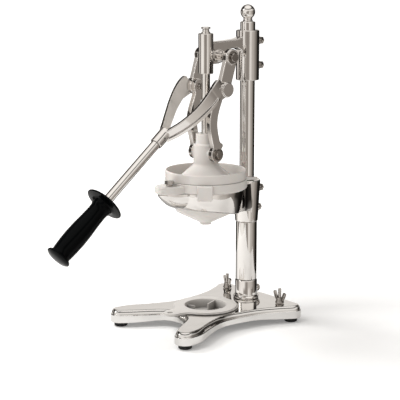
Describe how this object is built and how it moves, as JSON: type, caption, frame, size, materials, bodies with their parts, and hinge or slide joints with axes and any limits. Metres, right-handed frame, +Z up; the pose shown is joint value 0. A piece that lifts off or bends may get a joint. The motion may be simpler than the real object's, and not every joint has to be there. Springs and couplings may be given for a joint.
{
  "type": "lever citrus press",
  "caption": "Hand-operated chromed citrus press: cast base, rear post, bowl with spout over the glass place, and a pressing bell driven by a toggle lever with a black grip.",
  "frame": {"origin": "middle of the whole press's box at table level (X and Y middle of the bounding box, Z at the bottom of the rubber feet)", "axes": "+Z up along the post and the plunger, +Y towards the rear post, -Y towards the handle, X across the press"},
  "size_m": [0.182, 0.4034, 0.4775],
  "materials": {
    "chrome": "mirror chrome plate, smooth",
    "aluminium": "polished cast aluminium",
    "white_plastic": "warm white moulded plastic, satin gloss",
    "grey_plastic": "light grey moulded plastic, satin",
    "black_grip": "black moulded grip, satin",
    "black_rubber": "matt black rubber",
    "fastener_steel": "plated steel fasteners, slightly darker than the chrome",
    "bronze": "plain bearing bronze"
  },
  "bodies": {
    "root": {"base_casting": "aluminium", "rubber_foot_1": "black_rubber", "rubber_foot_2": "black_rubber", "rubber_foot_3": "black_rubber", "rubber_foot_4": "black_rubber", "foot_screw_1": "fastener_steel", "foot_screw_2": "fastener_steel", "foot_screw_3": "fastener_steel", "foot_screw_4": "fastener_steel", "column_socket": "chrome", "socket_bolt": "fastener_steel", "lower_column": "chrome", "post": "chrome", "ball_finial": "chrome", "bowl_holder": "chrome", "bowl_bolt_upper": "fastener_steel", "bowl_bolt_lower": "fastener_steel", "funnel_cup": "white_plastic", "strainer_basket": "white_plastic", "cup_bolt": "fastener_steel", "head_casting": "chrome", "head_bolt_upper": "fastener_steel", "head_bolt_lower": "fastener_steel", "guide_bush": "bronze", "top_pivot_shaft": "fastener_steel", "stud_left": "fastener_steel", "stud_right": "fastener_steel"},
    "glass_ring": {"glass_rest_ring": "grey_plastic"},
    "plunger": {"press_bell": "white_plastic", "plunger_rod": "chrome", "stop_button": "chrome", "bell_pivot_bolt_left": "fastener_steel", "bell_pivot_bolt_right": "fastener_steel"},
    "lever": {"yoke": "chrome", "handle_tube": "chrome", "handle_set_screw": "fastener_steel", "grip_collar": "grey_plastic", "grip": "black_grip", "upper_link_left": "chrome", "upper_link_right": "chrome", "top_pivot_cap_left": "fastener_steel", "top_pivot_cap_right": "fastener_steel", "knee_pin_left": "chrome", "knee_pin_right": "chrome"},
    "lower_links": {"lower_link_left": "chrome", "lower_link_right": "chrome", "knee_stub_left": "fastener_steel", "knee_stub_right": "fastener_steel"},
    "wing_nut_left": {"wing_nut_left": "fastener_steel"},
    "wing_nut_right": {"wing_nut_right": "fastener_steel"}
  },
  "joints": [
    {"name": "lever_swing", "type": "hinge", "parent": "root", "child": "lever", "pos_m": [0, 0.0978, 0.4045], "axis": [-1, 0, 0], "range_deg": [0, 110]},
    {"name": "plunger_slide", "type": "slide", "parent": "root", "child": "plunger", "axis": [0, 0, 1], "range_m": [0, 0.0768]},
    {"name": "lower_link_swing", "type": "hinge", "parent": "plunger", "child": "lower_links", "pos_m": [0, 0.0773, 0.2625], "axis": [1, 0, 0], "range_deg": [0, 14.11]},
    {"name": "glass_ring_lift", "type": "slide", "parent": "root", "child": "glass_ring", "axis": [0, 0, 1], "range_m": [0, 0.05]},
    {"name": "wing_nut_left_turn", "type": "hinge", "parent": "root", "child": "wing_nut_left", "pos_m": [-0.06, 0.1753, 0.032], "axis": [0, 0, 1], "continuous": true},
    {"name": "wing_nut_right_turn", "type": "hinge", "parent": "root", "child": "wing_nut_right", "pos_m": [0.06, 0.1753, 0.032], "axis": [0, 0, 1], "continuous": true}
  ],
  "couplings": [
    {"joint": "plunger_slide", "follows": "lever_swing", "m_per_rad": 0.039777},
    {"joint": "lower_link_swing", "follows": "lever_swing", "ratio": 0.12732}
  ]
}
